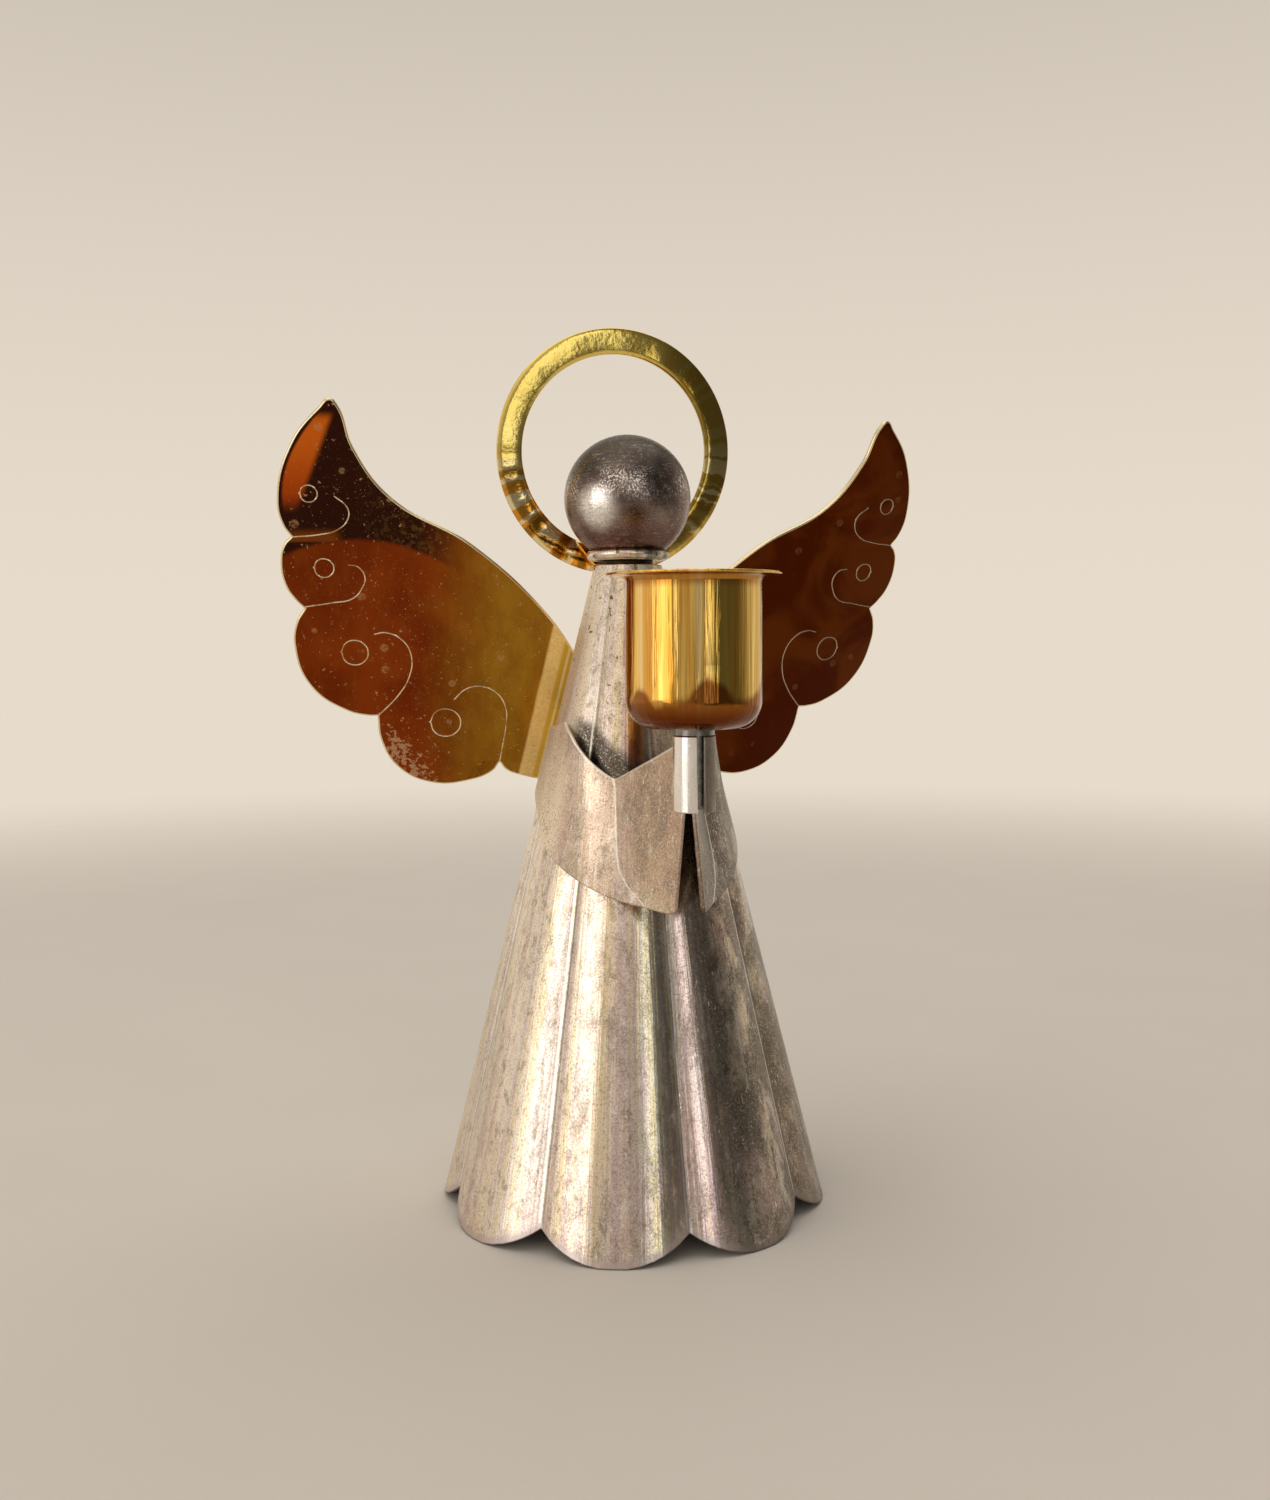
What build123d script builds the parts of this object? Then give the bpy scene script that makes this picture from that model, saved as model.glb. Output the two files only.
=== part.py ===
from build123d import *
import math
import os

# Gown: fluted cone of plated sheet that stands on its scalloped hem
LOBES = 8
HEM_R = 38.7          # radius over the flutes at the floor
NECK_R = 6.7          # the same at the gown's top
GOWN_H = 127.0
VALLEY = 0.95         # radius of a valley over that of a crest
GOWN_WALL = 0.9
SCALLOP = 4.8         # rise of the hem from a crest to a valley
HEM_FLAT = 5.0        # length of the flat that each lobe stands on
CAP = 1.2             # thickness of the gown's closed top

# Fits
GAP = 0.15            # between pieces that are fixed to each other
RUN = 0.05            # clearance of a piece that turns or slides

# Head, collar and halo, stacked on the neck screw
HEAD_D = 25.0
HEAD_FLAT = 11.4      # from the ball's centre down to its faced seat
COLLAR_R = 8.25
COLLAR_H = 2.3
COLLAR_FLOOR = 0.7
HALO_R = 24.4
HALO_BAND = 5.1
HALO_T = 1.2
HALO_RISE = 23.2      # the ring's centre above the gown's top
HALO_BACK = 8.6       # the ring's centre behind the gown's axis
HALO_LEAN = 6.0       # degrees, top towards the front
FOOT_W = 6.0
FOOT_T = 0.8
EYE_R = 5.0
NECK_SCREW_R = 2.0
NECK_GRIP = 9.4       # length of the neck screw inside the head
WASHER_T = 0.8

# Candle cup, its peg and the screw between them
CUP_REACH = 39.1      # from the gown's axis forward to the cup's axis
CANDLE_D = 22.8       # bore for a 7/8 inch taper
CUP_WALL = 0.5
CUP_H = 26.9
RIM_Z = 123.7
FLANGE_R = 15.4
LIP = 1.7             # radius of the turned lip
CUP_CORNER = 5.0
STEM_R = 2.9
SHOULDER_R = 3.6
SHOULDER_T = 1.1
CUP_SCREW_R = 1.5
CUP_SCREW_L = 8.0

# Arms: one band of sheet, bent round the gown and forward into two flaps
ARM_T = 0.8
HAND_H = 13.4
HAND_SLIT = 1.2       # gap between the hands at the front
FLAP_GAP = 0.8        # gap between the flaps under the hands
FLAP_SPREAD = 5.0     # the same at their lower tips
FLAP_DROP = 19.0      # from the hands' foot down to those tips
ELBOW_X = 7.9         # where the band bends forward, at the hands' foot
ELBOW_Y = 18.4
ELBOW_LEAN = 0.367    # forward travel of the bend for each mm down
SLEEVE_OFF = 0.7      # how far the sleeve's middle stands off the flutes
BAND_H = 10.0         # height of the band behind, with the back screw at its middle

# Wings: one brass sheet, bent back along both sides of a flat web
WING_T = 1.0
WING_REACH = 62.0     # flat width of one wing, from its bend to its outer edge
WEB_W = 12.0
WEB_Z = 90.0          # height of the back screw
WEB_OFF = 0.85        # from the band to the web, at the screw
WING_TILT = 21.8      # degrees from upright, top towards the front
WING_SWEEP = 10.5     # degrees that each wing is bent back
BACK_SCREW_R = 1.5
WASHER_R = 3.6
NUT_R = 3.1
NUT_T = 2.4

HEAD_R = HEAD_D / 2
SLOPE = (HEM_R - NECK_R) / GOWN_H
EYE_Z = GOWN_H + RUN
COLLAR_Z = EYE_Z + FOOT_T + RUN
SEAT_Z = COLLAR_Z + COLLAR_FLOOR + RUN
HEAD_Z = SEAT_Z + HEAD_FLAT
HALO_Z = GOWN_H + HALO_RISE
CUP_R = CANDLE_D / 2
CUP_Z = RIM_Z - CUP_H
HAND_BORE = STEM_R + RUN
HAND_R = HAND_BORE + ARM_T
SHOULDER_Z = CUP_Z - RUN - SHOULDER_T
HAND_TOP = SHOULDER_Z - RUN
HAND_FOOT = HAND_TOP - HAND_H
FLAP_Y = CUP_REACH - HAND_BORE


def crest(z):
    """Gown's radius over the flutes at height z."""
    return HEM_R - SLOPE * z


def plan(radius, degrees, z):
    """Point at an angle from the front, to the object's left when positive."""
    a = math.radians(degrees)
    return Vector(radius * math.sin(a), -radius * math.cos(a), z)


def lobe_face(z):
    """Wall section of one flute, its crest at the front."""
    half = 180 / LOBES
    r = crest(z)
    v = r * VALLEY
    w = GOWN_WALL
    outer = ThreePointArc(plan(v, -half, z), plan(r, 0, z), plan(v, half, z))
    inner = ThreePointArc(plan(v - w, half, z), plan(r - w, 0, z), plan(v - w, -half, z))
    return make_face([outer, Line(outer @ 1, inner @ 0), inner, Line(inner @ 1, outer @ 0)])


def hem_cutter():
    """Block under one lobe, hollowed by the round of its scallop."""
    w = HEM_R * VALLEY * math.sin(math.pi / LOBES)
    f = HEM_FLAT / 2
    zc = (SCALLOP**2 + w**2 - f**2) / (2 * SCALLOP)
    block = Box(2.2 * w, HEM_R * 0.6, 3 * SCALLOP)
    block -= Pos(0, 0, zc) * Cylinder(math.hypot(zc, f), HEM_R, rotation=(90, 0, 0))
    return Pos(0, -HEM_R * 0.9, 0) * block


def build_gown():
    lobe = loft([lobe_face(0), lobe_face(GOWN_H)], ruled=True) - hem_cutter()
    turn = 360 / LOBES
    gown = Part() + [Rot(0, 0, turn * (i + 0.5)) * lobe for i in range(LOBES)]
    r = NECK_R - 0.8 * GOWN_WALL
    top = Cone(r + CAP * SLOPE, r, CAP, align=(Align.CENTER, Align.CENTER, Align.MAX))
    gown += Pos(0, 0, GOWN_H) * top
    return gown - Pos(0, 0, GOWN_H) * Cylinder(NECK_SCREW_R + GAP, 3 * CAP) - back_hole()


def rod(radius, low, high):
    """Upright cylinder on the axis, between two heights."""
    return Pos(0, 0, (low + high) / 2) * Cylinder(radius, high - low)


def pan_screw(shank_r, length):
    """Screw pointing up from the underside of its slotted head at z = 0."""
    head_r = 1.7 * shank_r
    head_h = 1.2 * shank_r
    head = rod(head_r, -head_h, 0)
    head = fillet(head.edges().group_by(Axis.Z)[0], 0.4 * head_h)
    slot = Pos(0, 0, -head_h) * Box(3 * head_r, 0.4 * shank_r, head_h)
    return head - slot + rod(shank_r, 0, length)


def washer(radius, hole_r):
    """Flat ring whose upper face is at z = 0."""
    return rod(radius, -WASHER_T, 0) - rod(hole_r, -WASHER_T, 0)


def build_collar():
    """Bead ring with a dished top that the ball sits in."""
    ball = HEAD_R + RUN
    floor = COLLAR_Z + COLLAR_FLOOR
    top = COLLAR_Z + COLLAR_H

    def dish(z):
        return (math.sqrt(ball**2 - (HEAD_Z - z) ** 2), z)

    hole = NECK_SCREW_R + GAP
    foot_r = 0.8 * COLLAR_R
    bead = ThreePointArc((foot_r, COLLAR_Z), (COLLAR_R, COLLAR_Z + 0.5 * COLLAR_H), dish(top))
    seat = ThreePointArc(dish(top), dish((top + floor) / 2), dish(floor))
    rest = Polyline(dish(floor), (hole, floor), (hole, COLLAR_Z), (foot_r, COLLAR_Z))
    return revolve(Plane.XZ * make_face([bead, seat, rest]), Axis.Z)


def build_head():
    ball = Pos(0, 0, HEAD_Z) * Sphere(HEAD_R)
    ball -= rod(HEAD_R, HEAD_Z - 2 * HEAD_R, SEAT_Z)
    return ball - rod(NECK_SCREW_R + RUN, SEAT_Z, SEAT_Z + NECK_GRIP + 1)


def build_halo():
    """Flat ring with a strip turned forward to an eye on the neck screw."""
    ring = Cylinder(HALO_R, HALO_T) - Cylinder(HALO_R - HALO_BAND, HALO_T)
    ring = fillet(ring.edges(), 0.2 * HALO_T)
    halo = Pos(0, HALO_BACK, HALO_Z) * Rot(90 + HALO_LEAN, 0, 0) * ring
    reach = HALO_BACK + (HALO_Z - EYE_Z) * math.tan(math.radians(HALO_LEAN))
    halo += Pos(0, reach / 2, EYE_Z + FOOT_T / 2) * Box(FOOT_W, reach, FOOT_T)
    halo += rod(EYE_R, EYE_Z, EYE_Z + FOOT_T)
    return halo - rod(NECK_SCREW_R + RUN, EYE_Z, EYE_Z + FOOT_T)


def build_cup():
    """Drawn cup on the axis: rounded floor, straight wall, lip turned out to a flange."""
    w = CUP_WALL
    out_r = CUP_R + w
    c = CUP_CORNER
    hole = CUP_SCREW_R + RUN
    flat = out_r - c
    s = math.sqrt(0.5)
    low = CUP_Z + c
    neck = RIM_Z - LIP
    lip_x = CUP_R + LIP
    line = [
        Line((hole, CUP_Z), (flat, CUP_Z)),
        ThreePointArc((flat, CUP_Z), (flat + c * s, low - c * s), (out_r, low)),
        Line((out_r, low), (out_r, neck)),
        ThreePointArc((out_r, neck), (lip_x - (LIP - w) * s, neck + (LIP - w) * s), (lip_x, RIM_Z - w)),
        Polyline((lip_x, RIM_Z - w), (FLANGE_R, RIM_Z - w), (FLANGE_R, RIM_Z), (lip_x, RIM_Z)),
        ThreePointArc((lip_x, RIM_Z), (lip_x - LIP * s, neck + LIP * s), (CUP_R, neck)),
        Line((CUP_R, neck), (CUP_R, low)),
        ThreePointArc((CUP_R, low), (flat + (c - w) * s, low - (c - w) * s), (flat, CUP_Z + w)),
        Polyline((flat, CUP_Z + w), (hole, CUP_Z + w), (hole, CUP_Z)),
    ]
    return revolve(Plane.XZ * make_face(line), Axis.Z)


def build_stem():
    """Peg that drops into the hands, with a shoulder under the cup."""
    top = SHOULDER_Z + SHOULDER_T
    peg = rod(STEM_R, HAND_FOOT + STEM_R / 4, SHOULDER_Z)
    peg = chamfer(peg.edges().group_by(Axis.Z)[0], STEM_R / 6)
    peg += rod(SHOULDER_R, SHOULDER_Z, top)
    return peg - rod(CUP_SCREW_R + RUN, top - CUP_SCREW_L, top)


def build_cup_screw():
    """Slotted screw, head down in the cup's floor."""
    screw = Rot(180, 0, 0) * pan_screw(CUP_SCREW_R, CUP_SCREW_L - 1)
    return Pos(0, 0, CUP_Z + CUP_WALL + RUN) * screw


def band_face(z, flap_x):
    """Plan section of the sleeve band at height z, between its inner and outer lines."""
    drop = HAND_FOOT - z
    wires = []
    for t in (0, ARM_T):
        r = crest(z) + GAP + t
        elbow = Vector(ELBOW_X + 0.08 * drop + 0.84 * t, -ELBOW_Y - ELBOW_LEAN * drop - 0.58 * t, z)
        end = Vector(flap_x + 0.92 * t, -FLAP_Y, z)
        side = plan(r, 72, z)
        mid = plan(r + SLEEVE_OFF, 46, z)
        flip = Vector(-1, 1, 1)
        other = [Vector(p.X * flip.X, p.Y, p.Z) for p in (end, elbow, mid, side)]
        wires.append([
            Line(end, elbow),
            ThreePointArc(elbow, mid, side),
            ThreePointArc(side, plan(r, 180, z), other[3]),
            ThreePointArc(other[3], other[2], other[1]),
            Line(other[1], other[0]),
        ])
    inner, outer = wires
    ends = [Line(inner[0] @ 0, outer[0] @ 0), Line(inner[-1] @ 1, outer[-1] @ 1)]
    return make_face(inner + outer + ends)


def sleeve_shape():
    """Side view of the sleeve: narrow behind, a notch at the elbow, a long tip at the front."""
    f = HAND_FOOT
    back = crest(f) + 4 * ARM_T
    low, high = WEB_Z - BAND_H / 2, WEB_Z + BAND_H / 2
    front = -FLAP_Y - ARM_T
    tip = f - FLAP_DROP
    notch = (-ELBOW_Y + 1.6, f + 3.9)
    peak = (-4.6, f + 14.2)
    top = [
        Polyline((back, low), (back, high), (0, high), peak),
        Spline(peak, (-10, f + 11.4), notch),
        Polyline(notch, (-FLAP_Y + 3, f + 12), (front, f + 12.6), (front, tip)),
    ]
    hem = Spline((front, tip), (-22.8, tip + 2), (-9, tip + 8.6), (0, tip + 17), (back, low))
    return extrude(Plane.YZ * make_face(top + [hem]), HEM_R, both=True)


def build_arms():
    low = min(HAND_FOOT - FLAP_DROP, WEB_Z - BAND_H / 2)
    high = max(HAND_TOP, WEB_Z + BAND_H / 2)
    faces = [
        band_face(low - 3, FLAP_SPREAD / 2),
        band_face(HAND_FOOT, FLAP_GAP / 2),
        band_face(high + 3, FLAP_GAP / 2),
    ]
    arms = loft(faces, ruled=True) & sleeve_shape()
    tube = rod(HAND_R, HAND_FOOT, HAND_TOP) - rod(HAND_BORE, HAND_FOOT, HAND_TOP)
    tube -= Pos(0, -HAND_R, HAND_FOOT) * Box(HAND_SLIT, 2 * HAND_R, 3 * HAND_H)
    tube -= Pos(0, HAND_R, HAND_FOOT) * Box(FLAP_GAP, 2 * HAND_R, 3 * HAND_H)
    return arms + at_cup(tube) - back_hole()


def at_cup(shape):
    return Pos(0, -CUP_REACH, 0) * shape


def web_plane():
    """Front face of the wings' web: x across, y up the sheet, z towards the front."""
    a = math.radians(WING_TILT)
    y = crest(WEB_Z) + GAP + ARM_T + WEB_OFF
    return Plane((0, y, WEB_Z), x_dir=(1, 0, 0), z_dir=(0, -math.cos(a), -math.sin(a)))


def back_hole():
    return web_plane() * Cylinder(BACK_SCREW_R + GAP, HEM_R / 2)


def back_depth():
    """Distance along the back screw from the web to the washer inside the gown."""
    a = math.radians(WING_TILT)
    rise = VALLEY * SLOPE
    start = web_plane().origin.Y - VALLEY * crest(WEB_Z) + GOWN_WALL
    return start / (math.cos(a) + rise * math.sin(a)) + WASHER_R * math.tan(a - math.atan(rise)) + GAP


def on_grid(*points):
    """Points of the wings' pattern, drawn on a grid of 62 squares across one wing."""
    square = WING_REACH / 62
    return [(x * square, y * square) for x, y in points]


def wing_outline():
    """Flat pattern of one wing from the bend outwards, four feather lobes and the upper edge."""
    d, c, b, a = (16.1, -4.7), (41.8, 4.5), (56.7, 27.0), (59.3, 41.6)
    tip = (51.6, 69.0)
    return [
        Spline(*on_grid((0, -8.2), (7.3, -8.2), d)),
        Spline(*on_grid(d, (22.5, -9.4), (30, -10.3), (37, -7.2), c)),
        Spline(*on_grid(c, (48, 5.3), (55.3, 10.3), (58.6, 19), b)),
        Spline(*on_grid(b, (60.4, 31.6), (61.3, 37), a)),
        Spline(*on_grid(a, (62, 48.5), (59.4, 60), tip)),
        Spline(*on_grid(tip, (47.8, 60), (40.6, 50.9), (24.5, 42.5), (8, 28.4), (0, 17.6))),
        Line(*on_grid((0, 17.6), (0, -8.2))),
    ]


def build_wings():
    half = WEB_W / 2
    (_, low), (_, dip), (_, high) = on_grid((0, -8.2), (0, 11.5), (0, 17.6))
    web = Polyline((half, high), (half, low), (-half, low), (-half, high))
    notch = Spline((-half, high), (0, dip), (half, high))
    sheet = extrude(make_face([web, notch]), -WING_T)
    wing = extrude(make_face(wing_outline()), -WING_T)
    wing = Pos(half, 0, 0) * Rot(0, WING_SWEEP, 0) * wing
    sheet = sheet + wing + mirror(wing, Plane.YZ)
    return web_plane() * sheet - back_hole()


def build_back_fixings():
    """Screw behind the web, and the washer and nut inside the gown."""
    depth = back_depth()
    screw = Pos(0, 0, -WING_T) * pan_screw(BACK_SCREW_R, WING_T + depth + WASHER_T + NUT_T + 1)
    ring = Pos(0, 0, depth + WASHER_T) * washer(WASHER_R, BACK_SCREW_R + GAP)
    nut = extrude(RegularPolygon(NUT_R, 6), NUT_T) - Cylinder(BACK_SCREW_R + RUN, 4 * NUT_T)
    nut = Pos(0, 0, depth + WASHER_T) * nut
    return [web_plane() * shape for shape in (screw, ring, nut)]


gown = build_gown()
washer_z = GOWN_H - CAP
back_screw, back_washer, back_nut = build_back_fixings()
nodes = {
    "gown": gown,
    "arms": build_arms(),
    "wings": build_wings(),
    "halo": build_halo(),
    "collar": build_collar(),
    "head": build_head(),
    "neck_screw": Pos(0, 0, washer_z - WASHER_T)
    * pan_screw(NECK_SCREW_R, SEAT_Z + NECK_GRIP - washer_z + WASHER_T),
    "neck_washer": Pos(0, 0, washer_z) * washer(2.2 * NECK_SCREW_R, NECK_SCREW_R + GAP),
    "candle_cup": at_cup(build_cup()),
    "cup_stem": at_cup(build_stem()),
    "cup_screw": at_cup(build_cup_screw()),
    "back_screw": back_screw,
    "back_washer": back_washer,
    "back_nut": back_nut,
}

# The frame's origin is the middle of the footprint's box, on the floor
axis_y = (CUP_REACH + FLANGE_R - gown.bounding_box().max.Y) / 2
os.makedirs("parts", exist_ok=True)
for name, shape in nodes.items():
    export_step(Pos(0, axis_y, 0) * shape, f"parts/{name}.step")
print(f"gown axis at y = {axis_y:.3f}")
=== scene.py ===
import math

import bmesh
import bpy
from mathutils import Matrix, Vector


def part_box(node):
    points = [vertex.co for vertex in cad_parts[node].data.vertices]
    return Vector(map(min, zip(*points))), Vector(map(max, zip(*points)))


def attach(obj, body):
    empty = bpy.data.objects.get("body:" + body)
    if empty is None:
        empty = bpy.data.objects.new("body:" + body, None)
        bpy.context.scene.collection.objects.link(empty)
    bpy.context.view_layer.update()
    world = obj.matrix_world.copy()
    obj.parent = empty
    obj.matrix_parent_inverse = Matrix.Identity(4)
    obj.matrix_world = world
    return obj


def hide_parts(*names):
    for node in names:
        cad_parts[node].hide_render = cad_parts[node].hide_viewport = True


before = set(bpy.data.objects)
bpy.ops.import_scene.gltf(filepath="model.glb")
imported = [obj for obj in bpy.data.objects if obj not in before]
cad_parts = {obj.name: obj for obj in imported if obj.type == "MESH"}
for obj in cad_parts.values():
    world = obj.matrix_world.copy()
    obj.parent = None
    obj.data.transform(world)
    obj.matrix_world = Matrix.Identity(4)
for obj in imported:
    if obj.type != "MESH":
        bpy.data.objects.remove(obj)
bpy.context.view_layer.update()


# Gown: thin sheet rolled to a cone, pressed into eight flutes and cut to a scalloped hem. It is
# silver plated, and the plate has toned to warm grey, pink and straw, with fine speckle, streaks
# down the flutes and a worn hem. It stands on the hem and carries every other piece.
# The plate also carries painted light and shade: a paler left, a darker right, reflection bands by
# direction, highlights, and shadows at the sleeves and along the hem.
MM = 0.001
head_low, head_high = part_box("head")
AXIS = Vector((0, (head_low.y + head_high.y) / 2, 0))
FLUTES = 8
FLUTE_STEPS = 20
HALF_FLUTE = math.pi / FLUTES
HEM_R = 38.7
NECK_R = 6.7
GOWN_H = 127.0
VALLEY = 0.95
GOWN_WALL = 0.9
SCALLOP = 4.8
HEM_FLAT = 5.0
NECK_HOLE = 2.15
FOLD = 0.017
HEM_WEAR = 3.2
GOWN_RINGS = (0.004, 0.009, 0.018, 0.04, 0.1, 0.2, 0.35, 0.5, 0.65, 0.8, 0.92, 1)
FOLD_PULL = 0.8
SHARP_FROM = math.radians(38)
SOFTEN_FROM = math.radians(50)
# Painted reflection and shade bands on the flutes: from and to in radians from the front,
# strength, colour.
GOWN_REFLECTION_BANDS = [
    (-1.30, -0.85, 0.45, (0.95, 0.74, 0.62, 1)),
    (-0.74, -0.44, 0.70, (1.00, 0.80, 0.59, 1)),
    (-0.42, -0.22, 0.50, (0.80, 0.60, 0.56, 1)),
    (-0.22, -0.12, 0.65, (0.88, 0.87, 0.55, 1)),
    (-0.10, -0.02, 0.60, (0.24, 0.27, 0.27, 1)),
    (0.04, 0.13, 0.45, (0.98, 0.80, 0.74, 1)),
    (0.16, 0.32, 0.60, (0.10, 0.105, 0.085, 1)),
    (0.36, 0.56, 0.50, (0.34, 0.26, 0.17, 1)),
]


class Tone:
    """One socket of a finish. Tones add and multiply like numbers: each step is a Math node."""

    def __init__(self, tree, socket=None):
        self.tree = tree
        self.socket = socket

    def node(self, kind, settings=None, inputs=None, output=0):
        """Any node of the same finish: its settings come first, then values or links."""
        made = self.tree.nodes.new("ShaderNode" + kind)
        for name, value in (settings or {}).items():
            setattr(made, name, value)
        for key, value in (inputs or {}).items():
            if isinstance(value, Tone):
                self.tree.links.new(value.socket, made.inputs[key])
            else:
                made.inputs[key].default_value = value
        return Tone(self.tree, made.outputs[output])

    def maths(self, operation, first, second=0.0):
        return self.node("Math", {"operation": operation}, {0: first, 1: second})

    def __add__(self, other):
        return self.maths("ADD", self, other)

    def __sub__(self, other):
        return self.maths("SUBTRACT", self, other)

    def __rsub__(self, other):
        return self.maths("SUBTRACT", other, self)

    def __mul__(self, other):
        return self.maths("MULTIPLY", self, other)

    def __truediv__(self, other):
        return self.maths("DIVIDE", self, other)

    def __pow__(self, other):
        return self.maths("POWER", self, other)

    __radd__ = __add__
    __rmul__ = __mul__

    def only(self, direction):
        """How far this place lies along X, Y or Z."""
        return self.node("SeparateXYZ", {}, {0: self}, direction)

    def attribute(self, name):
        """Value that the piece's mesh carries under a name."""
        return self.node("Attribute", {"attribute_name": name}, {}, "Fac")

    def rise(self, low, high):
        """Mask that goes smoothly from 0 at the low value to 1 at the high one."""
        inputs = {"Value": self, "From Min": low, "From Max": high}
        return self.node("MapRange", {"interpolation_type": "SMOOTHSTEP"}, inputs)

    def over(self, under, colour):
        """Colour laid over another where this mask is 1."""
        return self.node("Mix", {"data_type": "RGBA"}, {0: self, 6: under, 7: colour}, 2)

    def stretched(self, x, y, z):
        """The same place with each direction on its own scale."""
        inputs = {0: self, 1: (x, y, z)}
        return self.node("VectorMath", {"operation": "MULTIPLY"}, inputs)

    def cloud(self, scale, detail=3.0, roughness=0.55, distortion=0.0):
        """Soft random value at this place, with so many spots to a millimetre."""
        inputs = {"Vector": self, "Scale": scale, "Detail": detail,
                  "Roughness": roughness, "Distortion": distortion}
        return self.node("TexNoise", {}, inputs)


def new_finish(name, metallic=1.0):
    """New finish: its material, its shader and its place in millimetres on the gown's axis."""
    material = bpy.data.materials.new(name)
    material.use_nodes = True
    tree = material.node_tree
    shader = tree.nodes["Principled BSDF"]
    shader.inputs["Metallic"].default_value = metallic
    place = Tone(tree).node("TexCoord", {}, {}, "Object")
    place = place.node("VectorMath", {"operation": "SUBTRACT"}, {0: place, 1: AXIS})
    return material, shader, place.stretched(1 / MM, 1 / MM, 1 / MM)


def set_finish(shader, colour, roughness, relief, depth):
    """Feeds a shader its colour, its roughness and a relief so many millimetres deep."""
    tree = colour.tree
    tree.links.new(colour.socket, shader.inputs["Base Color"])
    tree.links.new(roughness.socket, shader.inputs["Roughness"])
    bump = relief.node("Bump", {}, {"Strength": 1.0, "Distance": depth * MM, "Height": relief})
    tree.links.new(bump.socket, shader.inputs["Normal"])


def round_the_axis(place, turns, rise):
    """Place on a cone for streaks that run up it: direction round the axis, and height."""
    x = place.only("X")
    y = place.only("Y")
    z = place.only("Z")
    radius = (x * x + y * y) ** 0.5
    inputs = {0: x / radius * turns, 1: y / radius * turns, 2: z * rise}
    return place.node("CombineXYZ", {}, inputs)


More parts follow.
